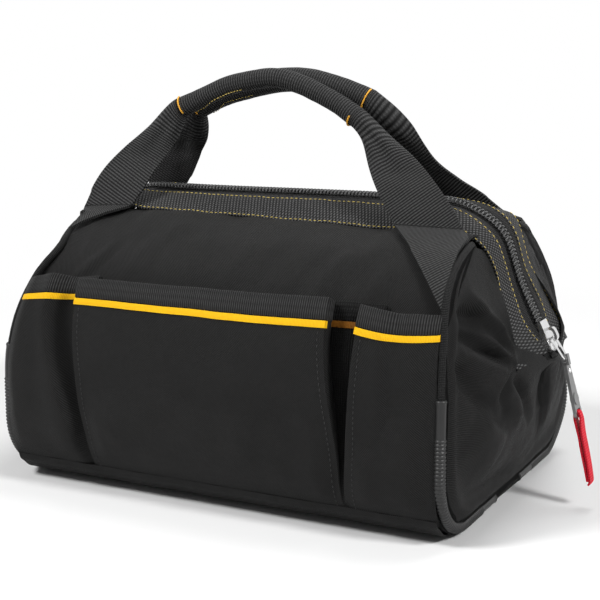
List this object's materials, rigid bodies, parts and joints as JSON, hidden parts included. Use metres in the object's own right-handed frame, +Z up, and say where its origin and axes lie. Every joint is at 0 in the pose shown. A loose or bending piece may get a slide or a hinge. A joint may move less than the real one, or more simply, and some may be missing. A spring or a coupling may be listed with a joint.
{
  "type": "zippered tool bag",
  "caption": "Upright fabric tool bag with a zip over a curved mouth, webbing carry handles, open pockets round the body and ribbed corner guards on its end seams.",
  "frame": {"origin": "middle of the flat bottom face, on the surface the bag stands on", "axes": "+X along the bag's length towards the end with the zip slider, -Y out of the front with the split pockets, +Z up"},
  "size_m": [0.3561, 0.2306, 0.2429],
  "materials": {
    "bag_fabric": "black woven polyester with a fine diagonal twill",
    "webbing": "black ribbed webbing and grosgrain",
    "yellow_ribbon": "yellow woven ribbon",
    "red_ribbon": "red ribbed ribbon",
    "zip_tape": "black woven zip tape",
    "zip_chain": "black polyester coil",
    "corner_plastic": "dark grey moulded plastic, half gloss",
    "bright_metal": "nickel plated",
    "dark_metal": "gunmetal plated",
    "board": "plain grey board"
  },
  "bodies": {
    "root": {"base_panel": "bag_fabric", "base_board": "board", "front_panel": "bag_fabric", "rear_panel": "bag_fabric", "left_end_panel": "bag_fabric", "right_end_panel": "bag_fabric", "left_end_piping": "webbing", "right_end_piping": "webbing", "front_left_protector": "corner_plastic", "rear_left_protector": "corner_plastic", "front_right_protector": "corner_plastic", "rear_right_protector": "corner_plastic", "left_zip_stop": "webbing", "right_zip_stop": "webbing", "front_zip_band": "webbing", "rear_zip_band": "webbing", "front_zip_tape": "zip_tape", "rear_zip_tape": "zip_tape", "front_zip_coil": "zip_chain", "rear_zip_coil": "zip_chain", "front_centre_pocket": "bag_fabric", "front_centre_binding": "webbing", "front_centre_ribbon": "yellow_ribbon", "front_left_pocket": "bag_fabric", "front_left_binding": "webbing", "front_left_ribbon": "yellow_ribbon", "front_right_pocket": "bag_fabric", "front_right_binding": "webbing", "front_right_ribbon": "yellow_ribbon", "rear_pocket": "bag_fabric", "rear_binding": "webbing", "rear_ribbon": "yellow_ribbon", "front_left_anchor": "webbing", "front_right_anchor": "webbing", "rear_left_anchor": "webbing", "rear_right_anchor": "webbing"},
    "front_handle": {"front_grip": "webbing", "front_left_strap": "webbing", "front_right_strap": "webbing"},
    "rear_handle": {"rear_grip": "webbing", "rear_left_strap": "webbing", "rear_right_strap": "webbing"},
    "slider": {"zip_slider": "bright_metal"},
    "link": {"pull_link": "bright_metal"},
    "pull": {"zip_pull": "dark_metal", "pull_rivet": "bright_metal"},
    "cord": {"pull_cord": "red_ribbon"}
  },
  "joints": [
    {"name": "front_handle_fold", "type": "hinge", "parent": "root", "child": "front_handle", "pos_m": [0, -0.04244, 0.16675], "axis": [1, 0, 0], "range_deg": [0, 120]},
    {"name": "rear_handle_fold", "type": "hinge", "parent": "root", "child": "rear_handle", "pos_m": [0, 0.04244, 0.16675], "axis": [-1, 0, 0], "range_deg": [0, 120]},
    {"name": "slider_travel", "type": "slide", "parent": "root", "child": "slider", "axis": [-0.4578, 0, 0.889], "range_m": [0, 0.015]},
    {"name": "link_swing", "type": "hinge", "parent": "slider", "child": "link", "pos_m": [0.16266, 0, 0.09749], "axis": [0, -1, 0], "range_deg": [0, 105]},
    {"name": "pull_swing", "type": "hinge", "parent": "link", "child": "pull", "pos_m": [0.17041, 0, 0.08643], "axis": [0, -1, 0], "range_deg": [-15, 70]},
    {"name": "cord_swing", "type": "hinge", "parent": "pull", "child": "cord", "pos_m": [0.17906, 0, 0.05412], "axis": [0, -1, 0], "range_deg": [-15, 60]}
  ]
}
